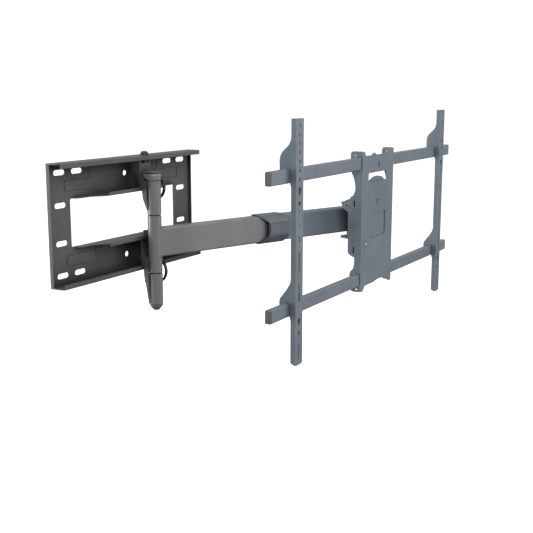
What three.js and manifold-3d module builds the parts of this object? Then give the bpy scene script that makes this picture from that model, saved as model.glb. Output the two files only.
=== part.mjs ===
// Full motion TV wall mount: a wall plate, a hinge column, a two-piece arm, a swivelling and tilting
// head, two rails and two upright screen arms. Millimetres, Z up. The wall is the plane Y = 0 and the
// room is on the -Y side. Heights below are measured from the middle of the wall plate; the whole
// mount is then set down so that the mounting point on the plate's back face is the origin.
import * as THREE from "three";
import { mergeVertices } from "three/addons/utils/BufferGeometryUtils.js";
import Module from "manifold-3d";

const wasm = await Module();
wasm.setup();

// ---- driving dimensions ---------------------------------------------------------------------
const MOUNT_HEIGHT = 66; // mounting point above the middle of the wall plate
const FIT = 0.3; // gap between pieces that touch
const SHEET = 2.5; // steel sheet

const PLATE_W = 478;
const PLATE_H = 247;
const PLATE_DEPTH = 36.5;
const PLATE_LIP = 9.5; // height of the front lips, sheet included
const PLATE_SIDE = 9; // depth of the side flanges
const WINDOW_HALF_W = 175;
const CHANNEL_INNER = 48.5; // each channel runs from this height to the plate's edge
const LIP_HALF_W = 98; // half length of the lips beside the window
const OUTER_LIP_HALF_W = 234.5; // half length of the lips along the top and bottom edges
const GROOVE = 1.2; // depth of the lines pressed round the panels
const STUD_WIDE = 203.2; // half of 16 inches
const STUD_NARROW = 152.4; // half of 12 inches
const SLOT_ROW = 103;
const SLOT_MID_ROW = 38;
const SLOT_L = 33;
const SLOT_W = 11;
const STAMP = 0.8; // depth of the pressed centre panels

const COLUMN = { x: 30, y: -56 };
const BARREL_R = 15;
const PIN_R = 10;
const JOINT_TOP = -3.7; // joint line above the turning barrel
const JOINT_LOW = -130.5; // joint line below the turning barrel
const KNUCKLE_TOP = 71;
const CAP_TOP = 86.2;
const KNUCKLE_FOOT = -200;
const TIP_FOOT = -214;

const BRACKET_HALF_W = 18;
const WEB_Y = -31; // back of the bracket's web, inside the channel
const WALL_FRONT = -49.5; // the side walls end beside the back of the knuckles
const BOLT = { x: 36, y: -28, r: 3.8, headR: 9.5, headH: 8.3 };

const ARM_TOP = -32;
const ARM_FOOT = -95;
const ARM_HALF_T = 15;
const ARM_WALL = 2.5;
const ARM1_ANGLE = -19.2;
const ARM1_LENGTH = 318;
const ARM2_ANGLE = -20.9;
const ARM2_LENGTH = 289.15;
const ELBOW_SET_BACK = 15.5; // the elbow pin stands behind the arms' middle line, so that they fold flat
const ELBOW_EYE_R = 11.5;
const ELBOW_PIN_R = 5;
const ARM_END = 14; // each arm tube stops this far from the elbow pin
const COVER_NOSE = -34;
const COVER_LIP = -8; // where the mouth's edge crosses the room side
const COVER_TAIL = 56;

const CLEVIS_R = 31;
const CLEVIS_TOP = -26.9;
const CLEVIS_LOW = -111.5;
const CLEVIS_SHEET = 3.5;
const SWIVEL_BOLT_R = 6;
const SWIVEL_WEB_Y = -297;

const HEAD_HALF_W = 97.5;
const HEAD_FRONT = -332.5;
const TILT_AXIS = { y: -290.5, z: -20.8 };
const CRADLE_HALF_W = 94.7;
const TILT_HOLE = 4.9;
const POCKET_DEPTH = 2.2;
// Pressed pocket in the middle of the head plate, [X, Z, corner radius].
const POCKET = [
  [-44, -107, 6],
  [50, -107, 6],
  [50, -44, 6],
  [-44, -44, 6],
];

const RAIL_FRONT = -329.7;
const RAIL_T = 15;
const RAIL_H = 30;
const RAIL_WALL = 2;
const RAIL_LEFT = 63;
const RAIL_RIGHT = 1132;
const RAIL_Z = [83.5, -205.5]; // middles of the upper and lower rails
const CAP_T = 4;

const VESA_X = [155.5, 1029.5];
const VESA_HALF_W = 16.2;
const VESA_FRONT = -344.8;
const VESA_BACK = -332.3;
const VESA_SHEET = 2.3;
const VESA_TOP = 203.6;
const VESA_FOOT = -330;
const WING_BACK = -304.5;

// ---- materials ------------------------------------------------------------------------------
const finish = (color, roughness, metalness) => new THREE.MeshStandardMaterial({ color, roughness, metalness });
const coat = finish(0x535455, 0.6, 0.2);
const coatLight = finish(0x6b6d6e, 0.5, 0.25);
const coatHead = finish(0x5f656b, 0.55, 0.2);
const plastic = finish(0x3c4044, 0.6, 0);
const blackPlastic = finish(0x111112, 0.55, 0);
const steel = finish(0x77797b, 0.35, 0.9);

// ---- helpers --------------------------------------------------------------------------------
function solid(geometry) {
  const bare = geometry.index ? geometry.toNonIndexed() : geometry.clone();
  bare.deleteAttribute("normal");
  bare.deleteAttribute("uv");
  const merged = mergeVertices(bare, 1e-4);
  const vertProperties = new Float32Array(merged.attributes.position.array);
  const triVerts = new Uint32Array(merged.index.array);
  return new wasm.Manifold(new wasm.Mesh({ numProp: 3, vertProperties, triVerts }));
}

function union(...solids) {
  return solids.reduce((all, next) => all.add(next));
}

function cut(from, ...solids) {
  return solids.reduce((all, next) => all.subtract(next), from);
}

function block(x0, x1, y0, y1, z0, z1) {
  const geometry = new THREE.BoxGeometry(x1 - x0, y1 - y0, z1 - z0);
  geometry.translate((x0 + x1) / 2, (y0 + y1) / 2, (z0 + z1) / 2);
  return solid(geometry);
}

// An outline through corners [u, v, radius]; a corner without a radius stays sharp.
function outline(corners) {
  const shape = new THREE.Shape();
  const at = (i) => new THREE.Vector2(...corners[(i + corners.length) % corners.length].slice(0, 2));
  corners.forEach((corner, i) => {
    const here = at(i);
    const radius = corner[2] ?? 0;
    const back = at(i - 1).sub(here);
    const ahead = at(i + 1).sub(here);
    const start = here.clone().add(back.setLength(Math.min(radius, back.length() / 2)));
    const end = here.clone().add(ahead.setLength(Math.min(radius, ahead.length() / 2)));
    if (i === 0) shape.moveTo(start.x, start.y);
    else shape.lineTo(start.x, start.y);
    if (radius > 0) shape.quadraticCurveTo(here.x, here.y, end.x, end.y);
  });
  shape.closePath();
  return shape;
}

// A hole with round ends, long in u or in v.
function slot(u, v, length, width, upright = false) {
  const reach = (length - width) / 2;
  const path = new THREE.Path();
  const turn = upright ? Math.PI / 2 : 0;
  const du = upright ? 0 : reach;
  const dv = upright ? reach : 0;
  path.absarc(u + du, v + dv, width / 2, turn - Math.PI / 2, turn + Math.PI / 2, false);
  path.absarc(u - du, v - dv, width / 2, turn + Math.PI / 2, turn + (3 * Math.PI) / 2, false);
  path.closePath();
  return path;
}

function disc(u, v, radius) {
  const path = new THREE.Path();
  path.absarc(u, v, radius, 0, Math.PI, false);
  path.absarc(u, v, radius, Math.PI, 2 * Math.PI, false);
  return path;
}

const DRAWN = {
  z: new THREE.Matrix4(),
  y: new THREE.Matrix4().makeBasis(
    new THREE.Vector3(1, 0, 0),
    new THREE.Vector3(0, 0, 1),
    new THREE.Vector3(0, -1, 0),
  ),
  x: new THREE.Matrix4().makeBasis(
    new THREE.Vector3(0, 1, 0),
    new THREE.Vector3(0, 0, 1),
    new THREE.Vector3(1, 0, 0),
  ),
};

// A shape drawn in (X, Y), (X, Z) or (Y, Z), pushed along the axis that is left.
function pushed(axis, shape, from, to, holes = [], curveSegments = 3) {
  const drawn = shape.clone();
  drawn.holes = holes;
  const depth = to - from;
  const geometry = new THREE.ExtrudeGeometry(drawn, { depth, bevelEnabled: false, curveSegments });
  geometry.translate(0, 0, axis === "y" ? -to : from);
  return solid(geometry.applyMatrix4(DRAWN[axis]));
}

// A round bar along an axis; u and v are its place in the plane across that axis.
function bar(axis, u, v, radius, from, to, sides = 24) {
  const geometry = new THREE.CylinderGeometry(radius, radius, to - from, sides);
  const middle = (from + to) / 2;
  if (axis === "z") geometry.rotateX(Math.PI / 2).translate(u, v, middle);
  if (axis === "x") geometry.rotateZ(-Math.PI / 2).translate(middle, u, v);
  if (axis === "y") geometry.translate(u, middle, v);
  return solid(geometry);
}

// A turned piece standing on Z; the profile is a list of [radius, height].
function turned(profile, x, y, sides = 32) {
  const points = profile.map(([radius, height]) => new THREE.Vector2(radius, height));
  const geometry = new THREE.LatheGeometry(points, sides);
  return solid(geometry.rotateX(Math.PI / 2).translate(x, y, 0));
}

function ring(x, y, outer, inner, from, to, sides = 32) {
  return cut(bar("z", x, y, outer, from, to, sides), bar("z", x, y, inner, from - 1, to + 1, sides));
}

const turn = (manifold, degrees) => manifold.rotate([0, 0, degrees]);

const root = new THREE.Group();
root.name = "tv_wall_mount";

function add(name, manifold, material) {
  const { numProp, vertProperties, triVerts } = manifold.getMesh();
  const geometry = new THREE.BufferGeometry();
  const places = new Float32Array((vertProperties.length / numProp) * 3);
  for (let i = 0; i < places.length / 3; i++) {
    for (let k = 0; k < 3; k++) places[3 * i + k] = vertProperties[numProp * i + k];
  }
  geometry.setAttribute("position", new THREE.BufferAttribute(places, 3));
  geometry.setIndex(new THREE.BufferAttribute(new Uint32Array(triVerts), 1));
  geometry.translate(0, 0, -MOUNT_HEIGHT);
  const mesh = new THREE.Mesh(geometry.toNonIndexed(), material);
  mesh.geometry.computeVertexNormals();
  mesh.name = name;
  root.add(mesh);
}

// ---- wall plate -----------------------------------------------------------------------------
function wallPlate() {
  const w = PLATE_W / 2;
  const h = PLATE_H / 2;
  const sheetOutline = outline([[-w, -h], [w, -h], [w, h], [-w, h]]);
  const windowOutline = outline([
    [-WINDOW_HALF_W, -CHANNEL_INNER, 4],
    [WINDOW_HALF_W, -CHANNEL_INNER, 4],
    [WINDOW_HALF_W, CHANNEL_INNER, 4],
    [-WINDOW_HALF_W, CHANNEL_INNER, 4],
  ]);
  const holes = [windowOutline, disc(0, 87.2, 6), disc(0, -89.3, 6)];
  for (const side of [-1, 1]) {
    for (const row of [-1, 1]) {
      holes.push(slot(side * STUD_WIDE, row * SLOT_ROW, SLOT_L, SLOT_W));
      holes.push(slot(side * STUD_NARROW, row * SLOT_ROW, SLOT_L, SLOT_W));
      holes.push(slot(side * STUD_WIDE, row * SLOT_MID_ROW, SLOT_L, SLOT_W));
    }
  }
  let plate = pushed("y", sheetOutline, -SHEET, 0, holes);

  for (const side of [-1, 1]) {
    const edge = side * w;
    const inside = side * (w - SHEET);
    plate = plate.add(block(Math.min(edge, inside), Math.max(edge, inside), -PLATE_SIDE, 0, -h, h));
  }
  const innerFlange = outline([
    [-169, 0],
    [169, 0],
    [164, -12, 5],
    [156, -15, 5],
    [127, -16, 6],
    [LIP_HALF_W, -PLATE_DEPTH],
    [-LIP_HALF_W, -PLATE_DEPTH],
    [-127, -16, 6],
    [-156, -15, 5],
    [-164, -12, 5],
  ].reverse());
  const outerFlange = outline([
    [-w, 0],
    [w, 0],
    [w, -27, 4],
    [OUTER_LIP_HALF_W, -PLATE_DEPTH],
    [-OUTER_LIP_HALF_W, -PLATE_DEPTH],
    [-w, -27, 4],
  ].reverse());
  for (const row of [-1, 1]) {
    const span = (a, b) => [Math.min(row * a, row * b), Math.max(row * a, row * b)];
    const front = -PLATE_DEPTH;
    plate = plate.add(pushed("z", outerFlange, ...span(h - SHEET, h)));
    const outerLip = span(h - PLATE_LIP, h);
    plate = plate.add(block(-OUTER_LIP_HALF_W, OUTER_LIP_HALF_W, front, front + SHEET, ...outerLip));
    plate = plate.add(pushed("z", innerFlange, ...span(CHANNEL_INNER, CHANNEL_INNER + SHEET)));
    const lip = span(CHANNEL_INNER, CHANNEL_INNER + PLATE_LIP - 2);
    plate = plate.add(block(-LIP_HALF_W + 3, LIP_HALF_W - 3, front, front + SHEET, ...lip));
    // The centre panel is pressed back; a pressed line runs round it and round the tongue at each side.
    const panel = (grow) => outline([
      [-103 - grow, row * (55 - grow), 4],
      [103 + grow, row * (55 - grow), 4],
      [103 + grow, row * 88, 3],
      [114 + grow, row * 92, 3],
      [114 + grow, row * (112 + grow), 4],
      [-114 - grow, row * (112 + grow), 4],
      [-114 - grow, row * 92, 3],
      [-103 - grow, row * 88, 3],
    ]);
    const [lineFrom, lineTo] = [-SHEET - 1, -SHEET + GROOVE];
    plate = plate.subtract(pushed("y", panel(0), lineFrom, -SHEET + STAMP));
    plate = plate.subtract(
      pushed("y", panel(1), lineFrom, lineTo).subtract(pushed("y", panel(-1), lineFrom - 1, lineTo + 1)),
    );
    for (const side of [-1, 1]) {
      const tongue = (grow) => outline([
        [side * 104, row * (64.5 - grow), 1],
        [side * (191 + grow), row * (64.5 - grow), 9],
        [side * (191 + grow), row * (86.5 + grow), 9],
        [side * 104, row * (86.5 + grow), 1],
      ]);
      const line = pushed("y", tongue(1), lineFrom, lineTo).subtract(
        pushed("y", tongue(-1), lineFrom - 1, lineTo + 1),
      );
      plate = plate.subtract(line);
    }
  }
  const drill = (z) => bar("z", BOLT.x, BOLT.y, BOLT.r + FIT, z - 5, z + 5, 24);
  return cut(plate, drill(h), drill(-CHANNEL_INNER));
}
add("wall_plate", wallPlate(), coat);

// ---- hinge brackets -------------------------------------------------------------------------
// tab: the height of the tab's top; walls: outline of the two side walls in (Y, Z); saddle: the
// heights of the plate behind the knuckle.
function hingeBracket(tab, walls, webFoot, saddle, extra) {
  const [x0, x1] = [COLUMN.x - BRACKET_HALF_W, COLUMN.x + BRACKET_HALF_W];
  const wall = 2.7;
  const tabSolid = block(x0, x1, WEB_Y - SHEET, -12, tab - 3, tab);
  const web = cut(
    block(x0, x1, WEB_Y - SHEET, WEB_Y, webFoot, tab - 1),
    block(x0 + wall, x1 - wall, WEB_Y - 8, WEB_Y + 5, tab - 13.5, tab - 3),
  );
  const shape = outline(walls);
  const left = pushed("x", shape, x0, x0 + wall);
  const right = pushed("x", shape, x1 - wall, x1);
  const back = COLUMN.y + BARREL_R + FIT;
  const saddlePlate = block(x0 + 1, x1 - 1, back, back + SHEET, ...saddle);
  const drill = bar("z", BOLT.x, BOLT.y, BOLT.r + FIT, tab - 17, tab + 5, 24);
  return cut(union(tabSolid, web, left, right, saddlePlate, extra), drill);
}

const FRONT_OF_LIP = -PLATE_DEPTH - 0.9;
const HOOD = { foot: 87.5, top: 91, front: -68 };
function upperBracket() {
  const tab = PLATE_H / 2 - SHEET - FIT;
  const walls = [
    [WEB_Y, tab - 1],
    [WEB_Y, 58.8],
    [FRONT_OF_LIP, 58.8],
    [FRONT_OF_LIP, 46, 3],
    [-40.5, 29, 4],
    [WALL_FRONT, 8],
    [WALL_FRONT, KNUCKLE_TOP - 0.5],
    [FRONT_OF_LIP, KNUCKLE_TOP - 0.5],
    [FRONT_OF_LIP, HOOD.foot + 1],
    [WEB_Y - SHEET, HOOD.top],
    [WEB_Y - SHEET, tab - 1],
  ];
  const [x0, x1] = [COLUMN.x - BRACKET_HALF_W, COLUMN.x + BRACKET_HALF_W];
  const hood = outline([
    [x0, WEB_Y],
    [x0, HOOD.front, 15],
    [x1, HOOD.front, 15],
    [x1, WEB_Y],
  ]);
  const hoodPlate = pushed("z", hood, HOOD.foot, HOOD.top);
  return hingeBracket(tab, walls, HOOD.top - 3, [31, KNUCKLE_TOP - 1], hoodPlate);
}
const LOWER_WALL_TOP = -95.6;
function lowerBracket() {
  const tab = -CHANNEL_INNER - SHEET - FIT;
  const walls = [
    [WEB_Y, tab - 1],
    [WEB_Y, -113.6],
    [FRONT_OF_LIP, -113.6],
    [FRONT_OF_LIP, -131, 3],
    [-39.6, -150, 3],
    [-42, -155, 3],
    [WALL_FRONT, -198],
    [WALL_FRONT, LOWER_WALL_TOP],
    [-40.6, LOWER_WALL_TOP],
    [-40.6, -92],
    [WEB_Y - SHEET, -79],
    [WEB_Y - SHEET, tab - 1],
  ];
  const ledge = outline([
    [WEB_Y, -76],
    [WEB_Y, -93],
    [-40.6, -93],
    [-40.6, -91, 1],
    [WEB_Y - SHEET, -79, 3],
    [WEB_Y - SHEET, -76],
  ]);
  const [x0, x1] = [COLUMN.x - BRACKET_HALF_W, COLUMN.x + BRACKET_HALF_W];
  const saddle = [-150, JOINT_LOW - 3];
  return hingeBracket(tab, walls, -92, saddle, pushed("x", ledge, x0, x1));
}
add("hinge_bracket_upper", upperBracket(), coat);
add("hinge_bracket_lower", lowerBracket(), coat);

function bracketBolt(seat) {
  const { r, headR, headH } = BOLT;
  const z = seat + FIT;
  const profile = [
    [0, z - 18.5],
    [r, z - 18.5],
    [r, z],
    [headR, z],
    [headR, z + 1.6],
    [headR * 0.86, z + headH * 0.55],
    [headR * 0.62, z + headH * 0.94],
    [headR * 0.5, z + headH],
    [0, z + headH],
  ];
  return turned(profile, BOLT.x, BOLT.y, 24);
}
function hexNut(x, y, across, bore, from, to) {
  const body = new THREE.CylinderGeometry(across / Math.sqrt(3), across / Math.sqrt(3), to - from, 6);
  body.rotateY(Math.PI / 6).rotateX(Math.PI / 2).translate(x, y, (from + to) / 2);
  return cut(solid(body), bar("z", x, y, bore, from - 1, to + 1, 24));
}
const seats = { upper: PLATE_H / 2, lower: -CHANNEL_INNER };
for (const [place, seat] of Object.entries(seats)) {
  const nutTop = seat - SHEET - FIT - 3 - FIT;
  add(`bracket_bolt_${place}`, bracketBolt(seat), steel);
  add(`bracket_nut_${place}`, hexNut(BOLT.x, BOLT.y, 10, BOLT.r + 0.2, nutTop - 6.5, nutTop), steel);
}

// ---- hinge column ---------------------------------------------------------------------------
const column = (outer, inner, from, to) => ring(COLUMN.x, COLUMN.y, outer, inner, from, to);
const BORE = PIN_R + FIT;
add("knuckle_upper", column(BARREL_R, BORE, JOINT_TOP + 0.4, KNUCKLE_TOP), coatLight);
add("knuckle_lower", column(BARREL_R, BORE, KNUCKLE_FOOT, JOINT_LOW - 1), coatLight);
add("bearing_ring_upper", column(BARREL_R - 0.9, BORE, JOINT_TOP - 0.8, JOINT_TOP + 0.1), blackPlastic);
add("bearing_ring_lower", column(BARREL_R - 0.9, BORE, JOINT_LOW - 0.7, JOINT_LOW + 0.1), blackPlastic);
add("hinge_pin", bar("z", COLUMN.x, COLUMN.y, PIN_R, KNUCKLE_FOOT + 0.1, KNUCKLE_TOP - 0.1, 28), steel);
// The cap is round below and squared towards the wall above, so that it fills the bracket's hood.
function columnCap() {
  const steps = 40;
  const wide = BRACKET_HALF_W - 0.4;
  const reach = (angle, square) => {
    const [c, d] = [Math.abs(Math.cos(angle)), Math.abs(Math.sin(angle))];
    const boxed = wide / (c ** 9 + d ** 9) ** (1 / 9);
    return square && Math.sin(angle) > 0 ? boxed : wide;
  };
  const levels = [
    { z: KNUCKLE_TOP + FIT, at: () => BARREL_R + 0.4 },
    { z: CAP_TOP - 4, at: (angle) => reach(angle, true) },
    { z: CAP_TOP, at: (angle) => reach(angle, true) },
  ];
  const points = [];
  for (const { z, at } of levels) {
    for (let i = 0; i < steps; i++) {
      const angle = (2 * Math.PI * i) / steps;
      points.push(COLUMN.x + at(angle) * Math.cos(angle), COLUMN.y + at(angle) * Math.sin(angle), z);
    }
  }
  const faces = [];
  for (let level = 0; level < levels.length - 1; level++) {
    for (let i = 0; i < steps; i++) {
      const [a, b] = [level * steps + i, level * steps + ((i + 1) % steps)];
      faces.push(a, b, b + steps, a, b + steps, a + steps);
    }
  }
  const last = (levels.length - 1) * steps;
  const [under, over] = [points.length / 3, points.length / 3 + 1];
  points.push(COLUMN.x, COLUMN.y, KNUCKLE_TOP + FIT, COLUMN.x, COLUMN.y, CAP_TOP);
  for (let i = 0; i < steps; i++) {
    const next = (i + 1) % steps;
    faces.push(under, next, i, over, last + i, last + next);
  }
  const geometry = new THREE.BufferGeometry();
  geometry.setAttribute("position", new THREE.Float32BufferAttribute(points, 3));
  geometry.setIndex(faces);
  return solid(geometry);
}
add("column_cap", columnCap(), plastic);
const tipProfile = [
  [0, TIP_FOOT],
  [5, TIP_FOOT],
  [7, TIP_FOOT + 1],
  [BARREL_R, KNUCKLE_FOOT - 3],
  [BARREL_R, KNUCKLE_FOOT - FIT],
  [0, KNUCKLE_FOOT - FIT],
];
add("column_tip", turned(tipProfile, COLUMN.x, COLUMN.y), plastic);

// A cable hoop: a flat ring beside the right side wall, on a foot along the wall. It is open where the
// plate's flange passes through it, between two angles counted from the wall side.
function cableHoop(y, middle, opens, closes) {
  const [x0, x1] = [COLUMN.x + BRACKET_HALF_W + FIT, COLUMN.x + BRACKET_HALF_W + 6.8];
  const [outer, inner] = [29, 25.4];
  const hoop = new THREE.Shape();
  const [start, end] = [opens, closes].map(THREE.MathUtils.degToRad);
  hoop.absarc(y, middle, outer, start, end, false);
  hoop.absarc(y, middle, inner, end, start, true);
  hoop.closePath();
  const foot = block(x0, x0 + 3, y - 14, y - 4, middle - inner + 1.5, middle + inner - 1.5);
  const ends = block(x0, x0 + 3, y - 12, y - 6, middle - inner - 1, middle + inner + 1);
  return union(pushed("x", hoop, x0, x1, [], 20), foot, ends);
}
add("cable_hoop_upper", cableHoop(-40.5, 54.2, 8, 344), blackPlastic);
add("cable_hoop_lower", cableHoop(-41.3, -130, 30, 362), blackPlastic);

// ---- arm 1: turning barrel, tube and elbow eye ----------------------------------------------
const unit = (degrees) => {
  const a = THREE.MathUtils.degToRad(degrees);
  return { x: Math.cos(a), y: Math.sin(a) };
};
// A point at distance s along a direction and n to its right.
const along = (from, degrees, s, n) => {
  const d = unit(degrees);
  return { x: from.x + s * d.x + n * d.y, y: from.y + s * d.y - n * d.x };
};
const ELBOW = along(COLUMN, ARM1_ANGLE, ARM1_LENGTH, -ELBOW_SET_BACK);
const HEAD = along(ELBOW, ARM2_ANGLE, ARM2_LENGTH, ELBOW_SET_BACK);

add("arm1_barrel", column(BARREL_R, BORE, JOINT_LOW + 0.4, JOINT_TOP - 1.1), coatLight);

function hollow(s0, s1, n0, n1) {
  const w = ARM_WALL;
  const outer = block(s0, s1, -n1, -n0, ARM_FOOT, ARM_TOP);
  return cut(outer, block(s0 - 1, s1 + 1, -n1 + w, -n0 - w, ARM_FOOT + w, ARM_TOP - w));
}
function placed(manifold, at, degrees) {
  return turn(manifold, degrees).translate([at.x, at.y, 0]);
}
const arm1 = cut(
  hollow(0, ARM1_LENGTH - ARM_END, -ARM_HALF_T, ARM_HALF_T),
  bar("z", 0, 0, BARREL_R + FIT, ARM_FOOT - 1, ARM_TOP + 1, 32),
);
add("arm1_tube", placed(arm1, COLUMN, ARM1_ANGLE), coatLight);

const EYE_TOP = ARM_TOP - ARM_WALL - FIT;
const EYE_FOOT = ARM_FOOT + ARM_WALL + FIT;
const tongueHalf = ARM_HALF_T - ARM_WALL - FIT;
const elbowEye = cut(
  union(
    bar("z", ARM1_LENGTH, ELBOW_SET_BACK, ELBOW_EYE_R, EYE_FOOT, EYE_TOP, 28),
    block(ARM1_LENGTH - 44, ARM1_LENGTH, -tongueHalf, tongueHalf, EYE_FOOT, EYE_TOP),
  ),
  bar("z", ARM1_LENGTH, ELBOW_SET_BACK, ELBOW_PIN_R + FIT, EYE_FOOT - 1, EYE_TOP + 1, 24),
);
add("elbow_eye", placed(elbowEye, COLUMN, ARM1_ANGLE), coatLight);

// ---- arm 2: forked tube, cover, pin and head eye --------------------------------------------
// Drawn with the elbow pin at the origin and the arm along +X; the room side is -Y.
const MID = ELBOW_SET_BACK;
function forkTab(from, to) {
  const r = ELBOW_EYE_R + 1.5;
  const shape = new THREE.Shape();
  shape.moveTo(ARM_END + 4, -(MID - ARM_HALF_T));
  shape.lineTo(r * 0.5, r * 0.866);
  shape.absarc(0, 0, r, Math.PI / 3, Math.PI * 1.2, false);
  shape.lineTo(2, -MID - ARM_HALF_T);
  shape.lineTo(ARM_END + 4, -MID - ARM_HALF_T);
  shape.closePath();
  return pushed("z", shape, from, to, [disc(0, 0, ELBOW_PIN_R + FIT)], 6);
}
const arm2 = cut(
  union(
    hollow(ARM_END, ARM2_LENGTH, MID - ARM_HALF_T, MID + ARM_HALF_T),
    forkTab(ARM_TOP - ARM_WALL, ARM_TOP),
    forkTab(ARM_FOOT, ARM_FOOT + ARM_WALL),
  ),
  bar("z", ARM2_LENGTH, -MID, BARREL_R + FIT, ARM_FOOT - 1, ARM_TOP + 1, 32),
);
add("arm2_tube", placed(arm2, ELBOW, ARM2_ANGLE), coatHead);

function elbowCover() {
  const front = -MID; // the arm's middle line
  const back = front + ARM_HALF_T + 0.5;
  const skin = 2.3;
  const shell = outline([
    [back, ARM_TOP + FIT + skin, 1],
    [front - 16.2, ARM_TOP + FIT + skin, 3],
    [front - 24.5, -46, 3],
    [front - 24.5, -81, 3],
    [front - 16.2, ARM_FOOT - FIT - skin, 3],
    [back, ARM_FOOT - FIT - skin, 1],
  ].reverse());
  const inner = outline([
    [back + 1, ARM_TOP + FIT],
    [front - ARM_HALF_T - 1.5, ARM_TOP + FIT],
    [front - ARM_HALF_T - 7, -47.5],
    [front - ARM_HALF_T - 7, -79.5],
    [front - ARM_HALF_T - 1.5, ARM_FOOT - FIT],
    [back + 1, ARM_FOOT - FIT],
  ].reverse());
  const raised = outline([
    [-5, -51, 4],
    [51, -51, 4],
    [51, -76, 4],
    [-5, -76, 4],
  ].reverse());
  // Both ends of the room side are bevelled towards the arm's top and bottom, the mouth more than the tail.
  const mouth = outline([
    [COVER_NOSE - 30, -31],
    [COVER_NOSE, -31],
    [COVER_LIP, -47, 2],
    [COVER_LIP, -80, 2],
    [COVER_NOSE, -96],
    [COVER_NOSE - 30, -96],
  ]);
  const tail = outline([
    [COVER_TAIL + 30, -20],
    [COVER_TAIL - 15, -20],
    [COVER_TAIL - 15, -30],
    [COVER_TAIL, -47, 2],
    [COVER_TAIL, -80, 2],
    [COVER_TAIL - 15, -97],
    [COVER_TAIL - 15, -107],
    [COVER_TAIL + 30, -107],
  ]);
  const body = cut(
    pushed("x", shell, COVER_NOSE, COVER_TAIL),
    pushed("x", inner, COVER_NOSE - 1, COVER_TAIL + 1),
  );
  return cut(
    union(body, pushed("y", raised, front - 25.9, front - 24)),
    pushed("y", mouth, front - 40, front - 15.6),
    pushed("y", tail, front - 40, back + 2),
  );
}
add("elbow_cover", placed(elbowCover(), ELBOW, ARM2_ANGLE), plastic);
const elbowPin = bar("z", ELBOW.x, ELBOW.y, ELBOW_PIN_R, ARM_FOOT + 0.1, ARM_TOP - 0.1, 24);
add("elbow_pin", elbowPin, steel);
const headPart = (outer, inner, from, to) => ring(HEAD.x, HEAD.y, outer, inner, from, to);
const HEAD_EYE_TOP = CLEVIS_TOP - 2.1;
const HEAD_EYE_FOOT = CLEVIS_LOW + 2.1;
add("head_eye", headPart(BARREL_R, SWIVEL_BOLT_R + FIT, HEAD_EYE_FOOT, HEAD_EYE_TOP), coatHead);

// ---- swivel bracket -------------------------------------------------------------------------
function swivelBracket() {
  const webFront = SWIVEL_WEB_Y - SHEET;
  const half = CRADLE_HALF_W - SHEET - FIT;
  const web = outline([
    [-half, -146, 8],
    [half, -146, 8],
    [half, 0, 6],
    [50, 6, 10],
    [-50, 6, 10],
    [-half, 0, 6],
  ]);
  let bracket = pushed("y", web, webFront, SWIVEL_WEB_Y, [slot(0, -63.5, 30, 14, true)]);
  const { y, z } = TILT_AXIS;
  const lug = outline([
    [webFront, z - 14],
    [SWIVEL_WEB_Y, z - 14],
    [y + 10, z - 8, 5],
    [y + 10, z + 8, 6],
    [SWIVEL_WEB_Y, z + 13],
    [webFront, z + 13],
  ]);
  for (const side of [-1, 1]) {
    const [a, b] = [side * half, side * (half - SHEET)];
    bracket = bracket.add(pushed("x", lug, Math.min(a, b), Math.max(a, b), [disc(y, z, TILT_HOLE)]));
  }
  const tab = new THREE.Shape();
  const wide = 52;
  tab.moveTo(-wide, webFront);
  tab.lineTo(wide, webFront);
  tab.lineTo(wide, SWIVEL_WEB_Y + 4);
  tab.lineTo(CLEVIS_R * 0.966, HEAD.y - CLEVIS_R * 0.259);
  tab.absarc(0, HEAD.y, CLEVIS_R, -Math.PI / 12, Math.PI * (13 / 12), false);
  tab.lineTo(-wide, SWIVEL_WEB_Y + 4);
  tab.closePath();
  const bore = [disc(0, HEAD.y, SWIVEL_BOLT_R + FIT)];
  bracket = bracket.add(pushed("z", tab, CLEVIS_TOP, CLEVIS_TOP + CLEVIS_SHEET, bore, 8));
  bracket = bracket.add(pushed("z", tab, CLEVIS_LOW - CLEVIS_SHEET, CLEVIS_LOW, bore, 8));
  return bracket.translate([HEAD.x, 0, 0]);
}
add("swivel_bracket", swivelBracket(), coatHead);
const washer = (from, to) => headPart(13, SWIVEL_BOLT_R + FIT, from, to);
add("swivel_washer_upper", washer(HEAD_EYE_TOP + FIT, CLEVIS_TOP - FIT), blackPlastic);
add("swivel_washer_lower", washer(CLEVIS_LOW + FIT, HEAD_EYE_FOOT - FIT), blackPlastic);
const boltSeat = CLEVIS_TOP + CLEVIS_SHEET + FIT;
const nutSeat = CLEVIS_LOW - CLEVIS_SHEET - FIT;
const swivelBolt = union(
  hexNut(HEAD.x, HEAD.y, 17, 2, boltSeat, boltSeat + 7),
  bar("z", HEAD.x, HEAD.y, SWIVEL_BOLT_R, nutSeat - 12, boltSeat + 6, 30),
);
add("swivel_bolt", swivelBolt, steel);
const swivelNut = hexNut(HEAD.x, HEAD.y, 17, SWIVEL_BOLT_R + 0.2, nutSeat - 9, nutSeat);
add("swivel_nut", swivelNut, steel);

// ---- tilting head ---------------------------------------------------------------------------
function mirroredWalls(shape, half, thickness, holes) {
  const wall = (from, to) => pushed("x", shape, from, to, holes);
  return wall(-half, -half + thickness).add(wall(half - thickness, half));
}

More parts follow.
